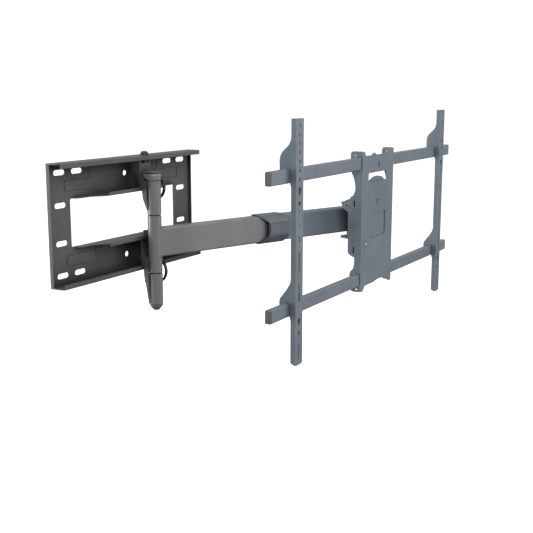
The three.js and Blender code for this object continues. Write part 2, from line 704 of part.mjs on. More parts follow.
function tiltCradle() {
  const front = HEAD_FRONT + SHEET + FIT;
  const web = outline([
    [-CRADLE_HALF_W, -150, 3],
    [CRADLE_HALF_W, -150, 3],
    [CRADLE_HALF_W, 30, 6],
    [56, 35, 4],
    [46, 36, 4],
    [32, 44, 6],
    [8, 48, 10],
    [-18, 48, 10],
    [-40, 43, 6],
    [-50, 36, 4],
    [-58, 35, 4],
    [-CRADLE_HALF_W, 30, 6],
  ]);
  const walls = outline([
    [front, -150, 1],
    [-313, -150, 6],
    [-301, -144.5, 4],
    [-294.5, -138, 4],
    [-294.5, -36, 3],
    [-287, -31, 3],
    [-279, -26, 3],
    [-276.5, -19, 3],
    [-279.5, -12.5, 4],
    [-287, -7, 5],
    [-299, -3, 3],
    [-304, 0, 4],
    [-309, 8, 4],
    [-312, 18.6, 4],
    [-316, 30, 5],
    [front, 33, 1],
  ]);
  const slots = [slot(-310.5, -14.5, 17, 4, true), slot(-310.5, -131, 17, 4, true)];
  const holes = [disc(TILT_AXIS.y, TILT_AXIS.z, TILT_HOLE), ...slots];
  const opening = outline(POCKET.map(([u, v, r]) => [u + Math.sign(u) * 3.5, v + Math.sign(v + 75) * 3.5, r]));
  const cradle = pushed("y", web, front, front + SHEET, [disc(-70, -119, 4), opening]);
  return cradle.add(mirroredWalls(walls, CRADLE_HALF_W, SHEET, holes)).translate([HEAD.x, 0, 0]);
}
add("tilt_cradle", tiltCradle(), coatHead);

function headPlate() {
  const back = HEAD_FRONT + SHEET;
  const w = HEAD_HALF_W;
  const face = outline([
    [-w, -236, 5],
    [-80, -236, 5],
    [-72, -224, 5],
    [-18, -224, 4],
    [10, -220, 8],
    [40, -221, 5],
    [58, -229, 5],
    [75, -232, 4],
    [82, -237, 4],
    [w, -237, 4],
    [w, 114, 4],
    [68, 114, 5],
    [63, 102, 3],
    [-14, 102, 3],
    [-20, 107, 3],
    [-34, 107, 3],
    [-40, 102, 3],
    [-78, 102, 4],
    [-84, 113, 5],
    [-w, 113, 4],
  ]);
  const window = outline([
    [-59, 35, 3],
    [56, 35, 3],
    [56, 52, 3],
    [48, 58, 2],
    [-59, 58, 3],
  ]);
  const holes = [
    window,
    slot(3, 77.3, 17.4, 6.4, true),
    slot(-2, -16.5, 17, 6.4, true),
    disc(66, 62, 2.5),
    disc(67, 2, 2.5),
    disc(-60, 1.6, 2.5),
    disc(66, -122, 2.5),
    disc(-70, -119, 3.8),
  ];
  const flange = outline([
    [HEAD_FRONT, -236, 5],
    [-305, -236, 9],
    [-301.6, -192, 4],
    [-303, -185, 3],
    [-311, -178, 5],
    [-314, -164, 6],
    [-314, 29.5, 8],
    [-310, 47.5, 6],
    [-303, 62.6, 3],
    [-300.5, 68, 3],
    [-300.5, 114, 8],
    [HEAD_FRONT, 114, 3],
  ]);
  const flangeHoles = [disc(-312.5, 104, 1.8), disc(-321, -229, 2.2)];
  for (const z of RAIL_Z) {
    const [y0, y1] = [RAIL_FRONT - 0.29, RAIL_FRONT + RAIL_T + FIT];
    const [z0, z1] = [z - RAIL_H / 2 - FIT, z + RAIL_H / 2 + FIT];
    flangeHoles.push(outline([[y0, z0], [y1, z0], [y1, z1], [y0, z1]]));
  }
  const pocket = outline(POCKET);
  const rim = outline(POCKET.map(([u, v, r]) => [u + Math.sign(u) * 2, v + Math.sign(v + 75) * 2, r]));
  const plate = cut(
    union(pushed("y", face, HEAD_FRONT, back, holes), pushed("y", rim, back - 1, back + POCKET_DEPTH)),
    pushed("y", pocket, HEAD_FRONT - 1, HEAD_FRONT + POCKET_DEPTH),
  );
  return plate.add(mirroredWalls(flange, w, SHEET, flangeHoles)).translate([HEAD.x, 0, 0]);
}
add("head_plate", headPlate(), coatHead);

// A hollow rivet through the cradle's ear and the swivel bracket's lug.
function tiltRivet(side) {
  const inner = CRADLE_HALF_W - 2 * SHEET - 2 * FIT;
  const outer = CRADLE_HALF_W + FIT;
  const [bore, shank, flange, lip] = [3.7, 4.6, 6, 1];
  const profile = [
    [bore, inner - lip],
    [flange, inner - lip],
    [flange, inner],
    [shank, inner],
    [shank, outer],
    [flange, outer],
    [flange, outer + lip],
    [bore, outer + lip],
    [bore, inner - lip],
  ].map(([r, h]) => new THREE.Vector2(r, h));
  const geometry = new THREE.LatheGeometry(profile, 24).rotateZ((-side * Math.PI) / 2);
  geometry.translate(HEAD.x, TILT_AXIS.y, TILT_AXIS.z);
  return solid(geometry);
}
add("tilt_rivet_left", tiltRivet(-1), steel);
add("tilt_rivet_right", tiltRivet(1), steel);

function headScrew() {
  const seat = HEAD_FRONT - FIT;
  const [x, z] = [HEAD.x - 70, -119];
  return union(
    bar("y", x, z, 3.4, seat - 1, HEAD_FRONT + 2 * SHEET + 2.5, 20),
    bar("y", x, z, 5.4, seat - 0.9, seat, 28),
    bar("y", x, z, 3.8, seat - 2.4, seat - 0.5, 24),
  );
}
add("head_screw", headScrew(), steel);

// ---- rails ----------------------------------------------------------------------------------
["upper", "lower"].forEach((place, i) => {
  const z = RAIL_Z[i];
  const [y0, y1] = [RAIL_FRONT, RAIL_FRONT + RAIL_T];
  const [z0, z1] = [z - RAIL_H / 2, z + RAIL_H / 2];
  const w = RAIL_WALL;
  const rail = cut(
    block(RAIL_LEFT, RAIL_RIGHT, y0, y1, z0, z1),
    block(RAIL_LEFT - 1, RAIL_RIGHT + 1, y0 + w, y1 - w, z0 + w, z1 - w),
  );
  add(`rail_${place}`, rail, coatHead);
  const cap = (end, away) => {
    const c = 1.4; // chamfer on the cap's outer edges
    const outer = outline([
      [y0, z0, c],
      [y1, z0, c],
      [y1, z1, c],
      [y0, z1, c],
    ]);
    const [a, b] = [end + away * FIT, end + away * (FIT + CAP_T)];
    const head = pushed("x", outer, Math.min(a, b), Math.max(a, b));
    const [p, q] = [end - away * 12, end + away * 1];
    const g = w + FIT;
    const plug = block(Math.min(p, q), Math.max(p, q), y0 + g, y1 - g, z0 + g, z1 - g);
    return union(head, plug);
  };
  add(`rail_cap_${place}_left`, cap(RAIL_LEFT, -1), plastic);
  add(`rail_cap_${place}_right`, cap(RAIL_RIGHT, 1), plastic);
});

// ---- upright screen arms --------------------------------------------------------------------
function screenArm(x) {
  const w = VESA_HALF_W;
  const face = outline([
    [-w, VESA_FOOT, 7],
    [w, VESA_FOOT, 7],
    [w, VESA_TOP, 2],
    [-w, VESA_TOP, 2],
  ]);
  const holes = [];
  for (let i = 0; i < 7; i++) holes.push(slot(0, 188.4 - 18.75 * i, 9, 5.5, true));
  for (const z of [51.4, -232.7]) holes.push(slot(0.5, z, 17, 13, true));
  for (const z of [24.8, -258.2]) holes.push(disc(0, z, 5.6));
  for (const z of [7.3, -23]) holes.push(disc(0, z, 2.8));
  holes.push(slot(0, -52, 16, 5.5, true));
  for (const [top, foot] of [[-80, -127], [-147, -190], [-283, -318]]) {
    holes.push(slot(0, (top + foot) / 2, top - foot, 6, true));
  }
  const [railFront, railBack] = [RAIL_FRONT - FIT, RAIL_FRONT + RAIL_T + FIT];
  const [top0, top1] = [RAIL_Z[0] - RAIL_H / 2 - FIT, RAIL_Z[0] + RAIL_H / 2 + FIT];
  const [low0, low1] = [RAIL_Z[1] - RAIL_H / 2 - FIT, RAIL_Z[1] + RAIL_H / 2 + FIT];
  const side = outline([
    [VESA_FRONT, VESA_TOP, 1],
    [VESA_FRONT, VESA_FOOT, 3],
    [VESA_BACK, VESA_FOOT + 5, 3],
    [VESA_BACK, low0 - 7, 2],
    [railFront, low0 - 2, 1],
    [railFront, low1],
    [railBack, low1],
    [railBack, RAIL_Z[1] - 4],
    [WING_BACK, RAIL_Z[1] - 4, 3],
    [WING_BACK, -183, 5],
    [-321.5, -162, 8],
    [VESA_BACK, -145, 8],
    [VESA_BACK, top0 - 7, 2],
    [railFront, top0 - 2, 1],
    [railFront, top1],
    [railBack, top1],
    [railBack, RAIL_Z[0] - 4],
    [WING_BACK, RAIL_Z[0] - 4, 3],
    [WING_BACK, 123, 9],
    [-310.5, 134, 5],
    [-326.5, 148.6, 5],
    [VESA_BACK, 161, 7],
    [VESA_BACK, VESA_TOP, 1],
  ]);
  const web = pushed("y", face, VESA_FRONT, VESA_FRONT + VESA_SHEET, holes);
  return web.add(mirroredWalls(side, w, VESA_SHEET)).translate([x, 0, 0]);
}
add("screen_arm_left", screenArm(VESA_X[0]), coatHead);
add("screen_arm_right", screenArm(VESA_X[1]), coatHead);

export default root;
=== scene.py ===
"""Looks of the full motion TV wall mount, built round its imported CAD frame. Metres, Z up, room on -Y."""

import math

import bmesh
import bpy
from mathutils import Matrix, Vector


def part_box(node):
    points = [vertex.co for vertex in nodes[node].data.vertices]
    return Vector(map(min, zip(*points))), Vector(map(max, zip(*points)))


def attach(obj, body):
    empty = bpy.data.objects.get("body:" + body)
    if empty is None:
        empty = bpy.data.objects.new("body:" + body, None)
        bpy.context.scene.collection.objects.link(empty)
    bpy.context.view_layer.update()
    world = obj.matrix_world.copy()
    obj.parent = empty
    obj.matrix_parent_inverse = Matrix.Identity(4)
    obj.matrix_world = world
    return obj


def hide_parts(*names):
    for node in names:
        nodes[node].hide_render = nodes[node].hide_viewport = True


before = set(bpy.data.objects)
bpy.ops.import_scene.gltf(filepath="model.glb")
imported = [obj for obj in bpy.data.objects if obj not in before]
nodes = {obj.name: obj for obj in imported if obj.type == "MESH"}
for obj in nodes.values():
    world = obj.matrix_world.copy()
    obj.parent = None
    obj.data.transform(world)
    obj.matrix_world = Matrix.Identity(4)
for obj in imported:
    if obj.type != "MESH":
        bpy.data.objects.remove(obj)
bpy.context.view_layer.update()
MM = 0.001


# ---- places and sizes in millimetres, read from the boxes of the CAD nodes --------------------
def span(node):
    """The lowest and the highest corner of a CAD node."""
    return [tuple(round(value / MM, 4) for value in corner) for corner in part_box(node)]


def heights(node):
    low, high = span(node)
    return low[2], high[2]


def metres(x, y, z):
    """A point given in millimetres, in metres."""
    return Vector((x * MM, y * MM, z * MM))


def along(start, angle, s, n):
    """The point at distance s along a direction in plan and n to its right."""
    c, d = math.cos(angle), math.sin(angle)
    return start[0] + s * c + n * d, start[1] + s * d - n * c


barrel_low, barrel_high = span("arm1_barrel")
COLUMN = ((barrel_low[0] + barrel_high[0]) / 2, (barrel_low[1] + barrel_high[1]) / 2)
BARREL_R = (barrel_high[0] - barrel_low[0]) / 2
BORE_R = 10.3
BARREL_INSET = 1.3
BARREL_DROP = 1.0
RING_INSET = 2.2
RING_CROWN = 0.2

ARM_FOOT, ARM_TOP = heights("arm1_tube")
ARM_MIDDLE = (ARM_TOP + ARM_FOOT) / 2
ARM_HALF_H = (ARM_TOP - ARM_FOOT) / 2
ARM_HALF_T = 15.0
ARM_WALL = 2.5
ARM_CORNER = 4.0
ARM_END = 14.0
ARM1_ANGLE = math.radians(-19.2)
ARM1_LENGTH = 318.0
ARM2_ANGLE = math.radians(-20.9)
ARM2_LENGTH = 289.15
ELBOW_SET_BACK = 15.5
ELBOW = along(COLUMN, ARM1_ANGLE, ARM1_LENGTH, -ELBOW_SET_BACK)
HEAD = along(ELBOW, ARM2_ANGLE, ARM2_LENGTH, ELBOW_SET_BACK)

RAIL_WALL = 2.0
RAIL_CORNER = 2.6
RAIL_CAP_GAP = 0.3
RAIL_CAP_HEAD = 4.0
RAIL_CAP_ROUND = 1.6
RAIL_PLUG = 12.0

PLATE_BEND_R = 1.8
PLATE_INNER_LIP = 48.5
HEAD_BEND_R = 2.1
SCREEN_ARM_BEND_R = 2.0

EDGE_ANGLE = math.radians(28.0)
EDGE_STEPS = 2
FLAT_ANGLE = math.radians(0.6)
MERGE_DISTANCE = 0.005 * MM


# ---- materials ------------------------------------------------------------------------------
class Graph:
    """A material's node tree with short calls for the nodes that the finishes share."""

    def __init__(self, name):
        self.material = bpy.data.materials.new(name)
        self.material.use_nodes = True
        self.tree = self.material.node_tree
        self.shader = self.tree.nodes["Principled BSDF"]
        self.place = self.node("ShaderNodeTexCoord").outputs["Object"]

    def node(self, kind, **settings):
        made = self.tree.nodes.new(kind)
        for key, value in settings.items():
            setattr(made, key, value)
        return made

    def join(self, source, target):
        self.tree.links.new(source, target)

    def noise(self, scale, detail=3.0, rough=0.55, stretch=None):
        """Noise of about 0 to 1; scale counts its waves per metre."""
        place = self.place
        if stretch:
            mapping = self.node("ShaderNodeMapping")
            mapping.inputs["Scale"].default_value = stretch
            self.join(place, mapping.inputs["Vector"])
            place = mapping.outputs["Vector"]
        made = self.node("ShaderNodeTexNoise")
        made.inputs["Scale"].default_value = scale
        made.inputs["Detail"].default_value = detail
        made.inputs["Roughness"].default_value = rough
        self.join(place, made.inputs["Vector"])
        return made.outputs["Fac"]

    def cells(self, scale):
        made = self.node("ShaderNodeTexVoronoi", feature="SMOOTH_F1")
        made.inputs["Scale"].default_value = scale
        self.join(self.place, made.inputs["Vector"])
        return made.outputs["Distance"]

    def spread(self, value, low, high, to_low, to_high):
        """Maps low..high of a value to to_low..to_high."""
        made = self.node("ShaderNodeMapRange")
        for key, number in zip(("From Min", "From Max", "To Min", "To Max"), (low, high, to_low, to_high)):
            made.inputs[key].default_value = number
        self.join(value, made.inputs["Value"])
        return made.outputs["Result"]

    def maths(self, operation, a, b):
        made = self.node("ShaderNodeMath", operation=operation)
        for socket, value in zip(made.inputs, (a, b)):
            if isinstance(value, (int, float)):
                socket.default_value = value
            else:
                self.join(value, socket)
        return made.outputs["Value"]

    def mix(self, factor, a, b):
        made = self.node("ShaderNodeMix", data_type="RGBA")
        colours = [s for s in made.inputs if s.type == "RGBA"]
        for socket, value in zip(colours, (a, b)):
            if isinstance(value, tuple):
                socket.default_value = (*value, 1.0)
            else:
                self.join(value, socket)
        self.join(factor, made.inputs["Factor"])
        return [s for s in made.outputs if s.type == "RGBA"][0]

    def edges(self, radius, sharpness=6.0):
        """1 on an edge and 0 on a flat: where the normal rounded over radius leaves the true one."""
        rounded = self.node("ShaderNodeBevel", samples=6)
        rounded.inputs["Radius"].default_value = radius
        geometry = self.node("ShaderNodeNewGeometry")
        dot = self.node("ShaderNodeVectorMath", operation="DOT_PRODUCT")
        self.join(rounded.outputs["Normal"], dot.inputs[0])
        self.join(geometry.outputs["True Normal"], dot.inputs[1])
        return self.spread(dot.outputs["Value"], 1.0, 1.0 - 1.0 / sharpness, 0.0, 1.0)

    def sheltered(self, reach, low, high):
        """Ambient occlusion: 1 deep in a channel or a corner and 0 in the open, looking reach metres around;
        the finishes paint shade with it.
        """
        made = self.node("ShaderNodeAmbientOcclusion", samples=12, only_local=False)
        made.inputs["Distance"].default_value = reach
        return self.spread(made.outputs["AO"], low, high, 1.0, 0.0)

    def bump(self, height, strength, distance, under=None):
        made = self.node("ShaderNodeBump")
        made.inputs["Strength"].default_value = strength
        made.inputs["Distance"].default_value = distance
        self.join(height, made.inputs["Height"])
        if under is not None:
            self.join(under, made.inputs["Normal"])
        return made.outputs["Normal"]


def shade(hexa):
    """A six-digit sRGB colour as linear numbers."""
    parts = [int(hexa[i : i + 2], 16) / 255 for i in (0, 2, 4)]
    return tuple(p / 12.92 if p <= 0.04045 else ((p + 0.055) / 1.055) ** 2.4 for p in parts)


def powder_coat(name, dark, light, edge, deep, gloss, depth, reach):
    """Fine powder coat on steel: mottled tone, orange peel and grain, lighter on edges as a thinner coat and
    as a painted highlight, rougher in corners and darkened there by painted shade.

    depth says how far the painted shade pulls the tone towards deep within reach millimetres; deep is the
    colour of that painted shade.
    """
    g = Graph(name)
    clouds = g.spread(g.noise(14.0, 4.0), 0.3, 0.7, 0.0, 1.0)
    grain = g.spread(g.noise(1500.0, 2.0, 0.7), 0.35, 0.65, 0.0, 1.0)
    tone = g.maths("ADD", g.maths("MULTIPLY", clouds, 0.6), g.maths("MULTIPLY", grain, 0.4))
    body = g.mix(tone, shade(dark), shade(light))
    breakup = g.spread(g.noise(260.0, 4.0, 0.7), 0.38, 0.6, 0.35, 1.0)
    # The lighter edge tone is partly wear of a thinner coat and partly a painted highlight on the rounded
    # edges.
    rim = g.maths("MULTIPLY", g.edges(1.3 * MM), breakup)
    edge_wear_and_highlight = g.mix(g.maths("MULTIPLY", rim, 0.7), body, shade(edge))
    # Painted shade: ambient occlusion darkens the tone towards deep in channels, corners and creases, where
    # shade falls.
    shelter = g.sheltered(reach * MM, 0.38, 0.97)
    creases = g.sheltered(3.0 * MM, 0.5, 0.95)
    painted_shade_mask = g.maths("MAXIMUM", g.maths("MULTIPLY", shelter, depth), g.maths("MULTIPLY", creases, 0.75))
    g.join(g.mix(painted_shade_mask, edge_wear_and_highlight, shade(deep)), g.shader.inputs["Base Color"])
    rough = g.spread(g.noise(45.0, 4.0, 0.65), 0.3, 0.7, gloss - 0.06, gloss + 0.08)
    duller = g.maths("ADD", rough, g.maths("MULTIPLY", painted_shade_mask, 0.2))
    g.join(g.maths("SUBTRACT", duller, g.maths("MULTIPLY", rim, 0.1)), g.shader.inputs["Roughness"])
    peel = g.bump(g.cells(620.0), 0.22, 0.04 * MM)
    g.join(g.bump(g.noise(2600.0, 2.0, 0.6), 0.2, 0.03 * MM, peel), g.shader.inputs["Normal"])
    return g.material


def moulded(name, dark, light, deep, gloss):
    """Injection-moulded plastic with a fine spark-eroded texture, a faint flow pattern and painted shade
    towards deep in hollows and creases.
    """
    g = Graph(name)
    flow = g.spread(g.noise(22.0, 3.0, 0.5, (1.0, 1.0, 0.35)), 0.3, 0.7, 0.0, 1.0)
    body = g.mix(flow, shade(dark), shade(light))
    # Painted shade: ambient occlusion darkens the tone towards deep in hollows and creases.
    shelter = g.maths("MAXIMUM", g.sheltered(14.0 * MM, 0.3, 0.95), g.sheltered(2.5 * MM, 0.5, 1.0))
    g.join(g.mix(shelter, body, shade(deep)), g.shader.inputs["Base Color"])
    rough = g.spread(g.noise(300.0, 3.0, 0.6), 0.3, 0.7, gloss - 0.05, gloss + 0.07)
    g.join(rough, g.shader.inputs["Roughness"])
    g.join(g.bump(g.noise(1800.0, 3.0, 0.65), 0.4, 0.04 * MM), g.shader.inputs["Normal"])
    return g.material


def plated(name, dark, light, gloss):
    """Zinc plated steel: metallic, with a fine grain and small dull spots."""
    g = Graph(name)
    spots = g.spread(g.noise(420.0, 4.0, 0.7), 0.35, 0.68, 0.0, 1.0)
    g.join(g.mix(spots, shade(dark), shade(light)), g.shader.inputs["Base Color"])
    rough = g.spread(g.noise(160.0, 3.0, 0.6), 0.3, 0.7, gloss - 0.08, gloss + 0.12)
    g.join(rough, g.shader.inputs["Roughness"])
    g.join(g.bump(g.noise(3200.0, 2.0, 0.6), 0.25, 0.02 * MM), g.shader.inputs["Normal"])
    g.shader.inputs["Metallic"].default_value = 0.7
    return g.material


# In each coat, deep is the colour of the painted shade in channels and corners, and edge is the lighter edge
# tone, partly wear and partly a painted highlight.
DARK_COAT = {"dark": "3c3d3e", "light": "48494a", "edge": "727476", "deep": "030303"}
GREY_COAT = {"dark": "5c5e60", "light": "6b6d6f", "edge": "8f9193", "deep": "161718"}
# The blue cast of HEAD_COAT is a painted tint and reflection of a glass pane in front of the head; the coat
# itself is a plain grey.
HEAD_COAT = {"dark": "545c64", "light": "646d76", "edge": "9ba3ac", "deep": "1a1d20"}
FINISHES = {
    "coat_dark": powder_coat("coat_dark", **DARK_COAT, gloss=0.5, depth=0.95, reach=60.0),
    "coat_grey": powder_coat("coat_grey", **GREY_COAT, gloss=0.34, depth=0.5, reach=45.0),
    "coat_head": powder_coat("coat_head", **HEAD_COAT, gloss=0.44, depth=0.48, reach=36.0),
    # The blue cast of cap_plastic is painted the same way, as a glass pane's tint and reflection.
    "cap_plastic": moulded("cap_plastic", dark="484e55", light="565d65", deep="08090a", gloss=0.42),
    "black_plastic": moulded("black_plastic", dark="0b0b0c", light="151516", deep="040404", gloss=0.38),
    "fastener": plated("fastener", dark="55575a", light="84878a", gloss=0.34),
    "black_steel": plated("black_steel", dark="1d1e1f", light="35373a", gloss=0.42),
    "bright_steel": plated("bright_steel", dark="8d9094", light="b9bcc0", gloss=0.3),
}


# ---- what every piece gets ------------------------------------------------------------------
def finish(obj, look):
    """Gives an object its material and smooth shading, without the normals that came with its mesh."""
    obj.data.materials.clear()
    obj.data.materials.append(FINISHES[look])
    obj.data.polygons.foreach_set("use_smooth", [True] * len(obj.data.polygons))
    if "custom_normal" in obj.data.attributes:
        obj.data.attributes.remove(obj.data.attributes["custom_normal"])


def ease(obj, width, harden=True):
    """Rounds the edges of an object by a small radius."""
    round_off = obj.modifiers.new("round", "BEVEL")
    round_off.limit_method = "ANGLE"
    round_off.angle_limit = EDGE_ANGLE
    round_off.width = width * MM
    round_off.segments = EDGE_STEPS
    round_off.harden_normals = harden


def soften(obj, width):
    """Rounds the edges of a CAD node through modifiers only."""
    weld = obj.modifiers.new("weld", "WELD")
    weld.merge_threshold = MERGE_DISTANCE
    flat = obj.modifiers.new("flat", "DECIMATE")
    flat.decimate_type = "DISSOLVE"
    flat.angle_limit = FLAT_ANGLE
    ease(obj, width)


def add(name, bm, slot, body, stands_for):
    """Turns a finished bmesh into a named piece that rides on a body, and hides the CAD node it stands in
    for.
    """
    bmesh.ops.recalc_face_normals(bm, faces=bm.faces)
    mesh = bpy.data.meshes.new(name)
    bm.to_mesh(mesh)
    bm.free()
    obj = bpy.data.objects.new(name, mesh)
    bpy.context.collection.objects.link(obj)
    finish(obj, slot)
    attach(obj, body)
    if stands_for:
        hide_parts(stands_for)
    return obj


def piece(name, bm, slot, body, stands_for=None, width=0.0):
    """A smooth piece whose flats stay flat, with its edges rounded where a width is given."""
    obj = add(name, bm, slot, body, stands_for)
    if width:
        ease(obj, width)
    flats = obj.modifiers.new("flats", "WEIGHTED_NORMAL")
    flats.weight = 100
    flats.keep_sharp = False


# ---- sheet metal pieces ---------------------------------------------------------------------
def near(value, *targets):
    """Whether a millimetre value is at one of the targets."""
    return any(abs(value - target) < 0.06 for target in targets)


def remodel(node, name, slot, body, bends, radius, width=0.4, steps=6):
    """A copy of a CAD node with its sheet bends rounded; bends(a, b) picks an edge by its two ends."""
    bm = bmesh.new()
    bm.from_mesh(nodes[node].data)
    bm.transform(nodes[node].matrix_world)
    bmesh.ops.remove_doubles(bm, verts=bm.verts, dist=MERGE_DISTANCE)
    bmesh.ops.dissolve_limit(bm, angle_limit=FLAT_ANGLE, verts=bm.verts, edges=bm.edges)
    picked = []
    for edge in bm.edges:
        if len(edge.link_faces) == 2 and edge.calc_face_angle() > 1.0:
            if bends(*(vert.co / MM for vert in edge.verts)):
                picked.append(edge)
    bevel = {"offset": radius * MM, "segments": steps, "profile": 0.5}
    bmesh.ops.bevel(bm, geom=picked, affect="EDGES", clamp_overlap=True, **bevel)
    obj = add(name, bm, slot, body, node)
    obj.data.polygons.foreach_set("use_smooth", [False] * len(obj.data.polygons))
    ease(obj, width, harden=False)


def front_corners(node):
    """Picks the upright edges at the two front corners of a channel."""
    low, high = span(node)
    return lambda *ends: all(near(x, low[0], high[0]) and near(y, low[1]) for x, y, z in ends)


def plate_bends(node):
    """Picks the level edges of the plate's lips and the edges where its sheet turns forward from the wall."""
    low, high = span(node)
    middle = (low[2] + high[2]) / 2
    lips = (low[2], high[2], middle - PLATE_INNER_LIP, middle + PLATE_INNER_LIP)

    def on_lip(x, y, z):
        return near(y, low[1]) and near(z, *lips)

    def on_back(x, y, z):
        return near(y, high[1]) and (near(z, low[2], high[2]) or near(x, low[0], high[0]))

    def picks(a, b):
        along_lip = on_lip(*a) and on_lip(*b) and near(a[2], b[2])
        return along_lip or (on_back(*a) and on_back(*b))

    return picks


remodel("head_plate", "head_sheet", "coat_head", "head", front_corners("head_plate"), HEAD_BEND_R)
for side, body in (("left", "screen_arm_a"), ("right", "screen_arm_b")):
    node = f"screen_arm_{side}"
    remodel(node, f"screen_channel_{side}", "coat_head", body, front_corners(node), SCREEN_ARM_BEND_R)
remodel("wall_plate", "wall_sheet", "coat_dark", "wall_side", plate_bends("wall_plate"), PLATE_BEND_R)


# ---- mesh makers ----------------------------------------------------------------------------
def skin(bm, rings, closed=False):
    """Quads between neighbouring rings of the same count; closed joins the last ring to the first."""
    count = len(rings[0])
    pairs = list(zip(rings, rings[1:])) + ([(rings[-1], rings[0])] if closed else [])
    for low, high in pairs:
        for i in range(count):
            j = (i + 1) % count
            bm.faces.new((low[i], low[j], high[j], high[i]))


def solid(bm, rings):
    """A skin over rings, closed by a face at each end."""
    skin(bm, rings)
    bm.faces.new(rings[0])
    bm.faces.new(rings[-1])


def round_box(half_u, half_v, radius, steps=5, flat_steps=1):
    """Points (u, v) round a rectangle with round corners; the flats along u are cut in flat_steps."""
    points = []
    for cu, cv, start in ((1, -1, -90), (1, 1, 0), (-1, 1, 90), (-1, -1, 180)):
        for i in range(steps + 1):
            a = math.radians(start + 90 * i / steps)
            u = cu * (half_u - radius) + radius * math.cos(a)
            v = cv * (half_v - radius) + radius * math.sin(a)
            points.append((u, v))
        if cu == cv:
            reach = half_u - radius
            for k in range(1, flat_steps):
                points.append((cu * (reach - 2 * reach * k / flat_steps), cv * half_v))
    return points


def hollow_bar(outer, inner, start, end, place):
    """A tube with shaped ends: start(u) and end(u) say where it ends, and place(s, u, v) gives the point."""
    bm = bmesh.new()
    loops = []
    for points, cut in ((outer, start), (outer, end), (inner, end), (inner, start)):
        loops.append([bm.verts.new(place(cut(u), u, v)) for u, v in points])
    skin(bm, loops, closed=True)
    return bm


# ---- turned column --------------------------------------------------------------------------
def turned(bm, profile, sides=96):
    """The rings of a body turned about the column's axis; profile is a list of (radius, height)."""
    rings = []
    for radius, height in profile:
        ring = []
        for i in range(sides):
            a = math.tau * i / sides
            x, y = COLUMN[0] + radius * math.cos(a), COLUMN[1] + radius * math.sin(a)
            ring.append(bm.verts.new(metres(x, y, height)))
        rings.append(ring)
    return rings


def sleeve(name, node, slot, body, profile, width=0.0):
    """A turned piece with a bore; its profile closes on itself."""
    bm = bmesh.new()
    skin(bm, turned(bm, profile), closed=True)
    piece(name, bm, slot, body, node, width)


for name, node, body in (
    ("upper_knuckle", "knuckle_upper", "wall_side"),
    ("turning_barrel", "arm1_barrel", "arm_one"),
    ("lower_knuckle", "knuckle_lower", "wall_side"),
):
    low, high = heights(node)
    profile = [
        (BORE_R, low),
        (BARREL_R - BARREL_INSET, low),
        (BARREL_R, low + BARREL_DROP),
        (BARREL_R, high - BARREL_DROP),
        (BARREL_R - BARREL_INSET, high),
        (BORE_R, high),
    ]
    sleeve(name, node, "coat_grey", body, profile, 0.3)

for name, node in (("ring_above", "bearing_ring_upper"), ("ring_below", "bearing_ring_lower")):
    low, high = heights(node)
    edge, crest = BARREL_R - RING_INSET, BARREL_R - RING_INSET + RING_CROWN
    profile = [(BORE_R, low), (edge, low), (crest, (low + high) / 2), (edge, high), (BORE_R, high)]
    sleeve(name, node, "black_plastic", "wall_side", profile)

foot, top = heights("column_tip")
tip = bmesh.new()
tip_profile = [
    (4.2, foot),
    (6.4, foot + 0.35),
    (7.4, foot + 1.5),
    (BARREL_R - 0.9, top - 3.6),
    (BARREL_R - 0.2, top - 2.4),
    (BARREL_R, top - 1.6),
    (BARREL_R, top),
]
solid(tip, turned(tip, tip_profile))
piece("tip_plug", tip, "coat_grey", "wall_side", "column_tip", 0.25)


def column_cap(radius=16.3, wall_round=1.6, room_round=6.2, steps=120):
    """Round at its foot, squared towards the wall above, its upper edge rounded more on the room's side."""
    foot, top = heights("column_cap")
    squareness = 9

    def reach(a, square):
        c, d = abs(math.cos(a)), abs(math.sin(a))
        if square and math.sin(a) > 0:
            return radius / (c**squareness + d**squareness) ** (1 / squareness)
        return radius

    levels = [(foot, 0.95, False, None), (foot + 0.9, 0.985, False, None), (foot + 5.7, 1.0, True, None)]
    levels += [(top, 1.0, True, math.radians(15 * k)) for k in range(7)]
    levels += [(top - 0.05, 0.54, False, None), (top - 0.7, 0.5, False, None)]
    bm = bmesh.new()
    rings = []
    for height, scale, square, turn in levels:
        ring = []
        for i in range(steps):
            a = math.tau * i / steps
            r, z = reach(a, square) * scale, height
            if turn is not None:
                drop = wall_round + (room_round - wall_round) * max(0.0, -math.sin(a))
                r -= drop * (1 - math.cos(turn))
                z -= drop * (1 - math.sin(turn))
            ring.append(bm.verts.new(metres(COLUMN[0] + r * math.cos(a), COLUMN[1] + r * math.sin(a), z)))
        rings.append(ring)
    solid(bm, rings)
    return bm


piece("cap_plug", column_cap(), "coat_grey", "wall_side", "column_cap")


# ---- arms -----------------------------------------------------------------------------------
def fish_mouth(u):
    """How far the tube's end stands from a barrel's axis at a distance u from the tube's middle."""
    radius = BARREL_R - 0.15
    return math.sqrt(max(0.0, radius * radius - u * u))


def arm_place(start, angle, offset):
    """The point at s along an arm, u to its right and v above its middle; offset moves its middle line."""
    return lambda s, u, v: metres(*along(start, angle, s, offset + u), ARM_MIDDLE + v)


def fork_tab(bm, low, high):
    """The tongue that reaches from the tube's end round the elbow pin, above or below the eye."""
    radius, steps = 13.0, 18
    flank = ELBOW_SET_BACK + ARM_HALF_T - 0.6
    points = [(ARM_END, ELBOW_SET_BACK + 10.0), (ARM_END, 2.5), (11.0, -5.0)]
    for i in range(steps + 1):
        a = math.radians(-60 - 156 * i / steps)
        points.append((radius * math.cos(a), radius * math.sin(a)))
    points += [(2.0, flank - 2.4), (4.0, flank), (ARM_END, flank)]
    rings = []
    for z in (low, high):
        rings.append([bm.verts.new(metres(*along(ELBOW, ARM2_ANGLE, s, n), z)) for s, n in points])
    solid(bm, rings)


